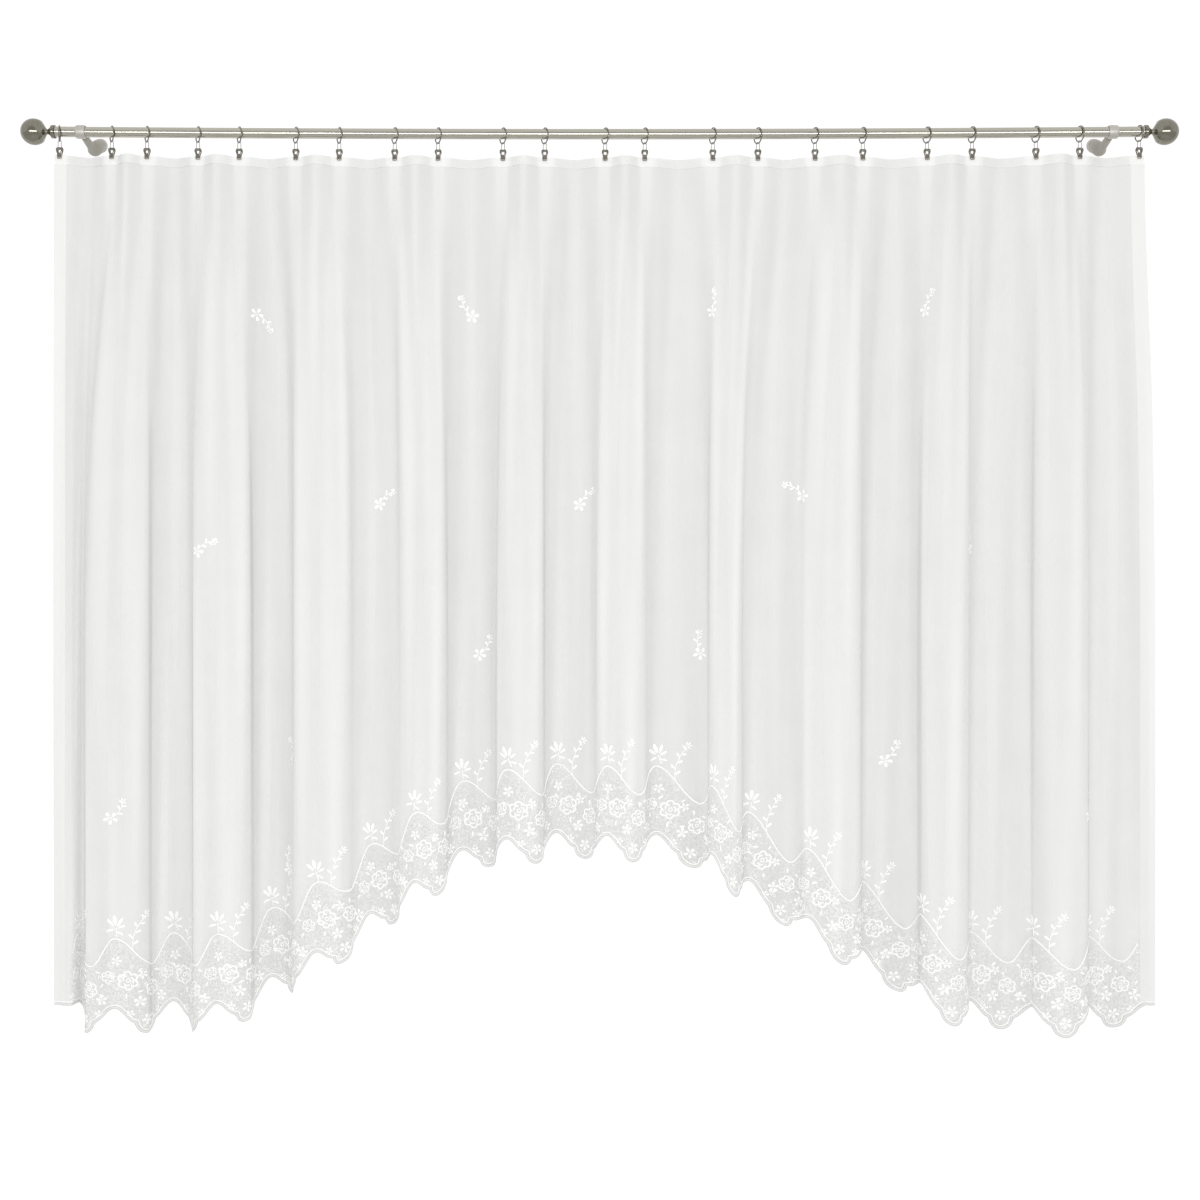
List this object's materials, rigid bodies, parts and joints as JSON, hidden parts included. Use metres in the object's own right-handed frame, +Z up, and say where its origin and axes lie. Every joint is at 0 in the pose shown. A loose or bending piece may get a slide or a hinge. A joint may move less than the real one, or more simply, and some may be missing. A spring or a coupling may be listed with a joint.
{
  "type": "net curtain on a rod",
  "caption": "White embroidered net curtain with an arched, scalloped lower edge, hung in soft folds by rings with clips from a metal rod on wall brackets.",
  "frame": {"origin": "centre of the left wall plate's back face, on the wall", "axes": "+X along the rod to the right as seen from the room, +Y into the wall, +Z up"},
  "size_m": [2.1066, 0.1405, 1.663],
  "materials": {
    "satin_nickel": "satin nickel plate",
    "matt_nickel": "matt nickel plate",
    "white_net": "fine sheer net, embroidered in white",
    "white_tape": "plain woven tape"
  },
  "bodies": {
    "root": {"net_panel": "white_net", "heading_tape": "white_tape", "rod": "satin_nickel", "finial_left": "satin_nickel", "finial_right": "satin_nickel", "ring_01": "satin_nickel", "ring_02": "satin_nickel", "ring_03": "satin_nickel", "ring_04": "satin_nickel", "ring_05": "satin_nickel", "ring_06": "satin_nickel", "ring_07": "satin_nickel", "ring_08": "satin_nickel", "ring_09": "satin_nickel", "ring_10": "satin_nickel", "ring_11": "satin_nickel", "ring_12": "satin_nickel", "ring_13": "satin_nickel", "ring_14": "satin_nickel", "ring_15": "satin_nickel", "ring_16": "satin_nickel", "ring_17": "satin_nickel", "ring_18": "satin_nickel", "ring_19": "satin_nickel", "ring_20": "satin_nickel", "ring_21": "satin_nickel", "ring_22": "satin_nickel", "clip_01": "satin_nickel", "clip_02": "satin_nickel", "clip_03": "satin_nickel", "clip_04": "satin_nickel", "clip_05": "satin_nickel", "clip_06": "satin_nickel", "clip_07": "satin_nickel", "clip_08": "satin_nickel", "clip_09": "satin_nickel", "clip_10": "satin_nickel", "clip_11": "satin_nickel", "clip_12": "satin_nickel", "clip_13": "satin_nickel", "clip_14": "satin_nickel", "clip_15": "satin_nickel", "clip_16": "satin_nickel", "clip_17": "satin_nickel", "clip_18": "satin_nickel", "clip_19": "satin_nickel", "clip_20": "satin_nickel", "clip_21": "satin_nickel", "clip_22": "satin_nickel", "rod_clamp_left": "matt_nickel", "rod_clamp_right": "matt_nickel", "bracket_arm_left": "matt_nickel", "bracket_arm_right": "matt_nickel", "wall_plate_left": "matt_nickel", "wall_plate_right": "matt_nickel"}
  },
  "joints": []
}
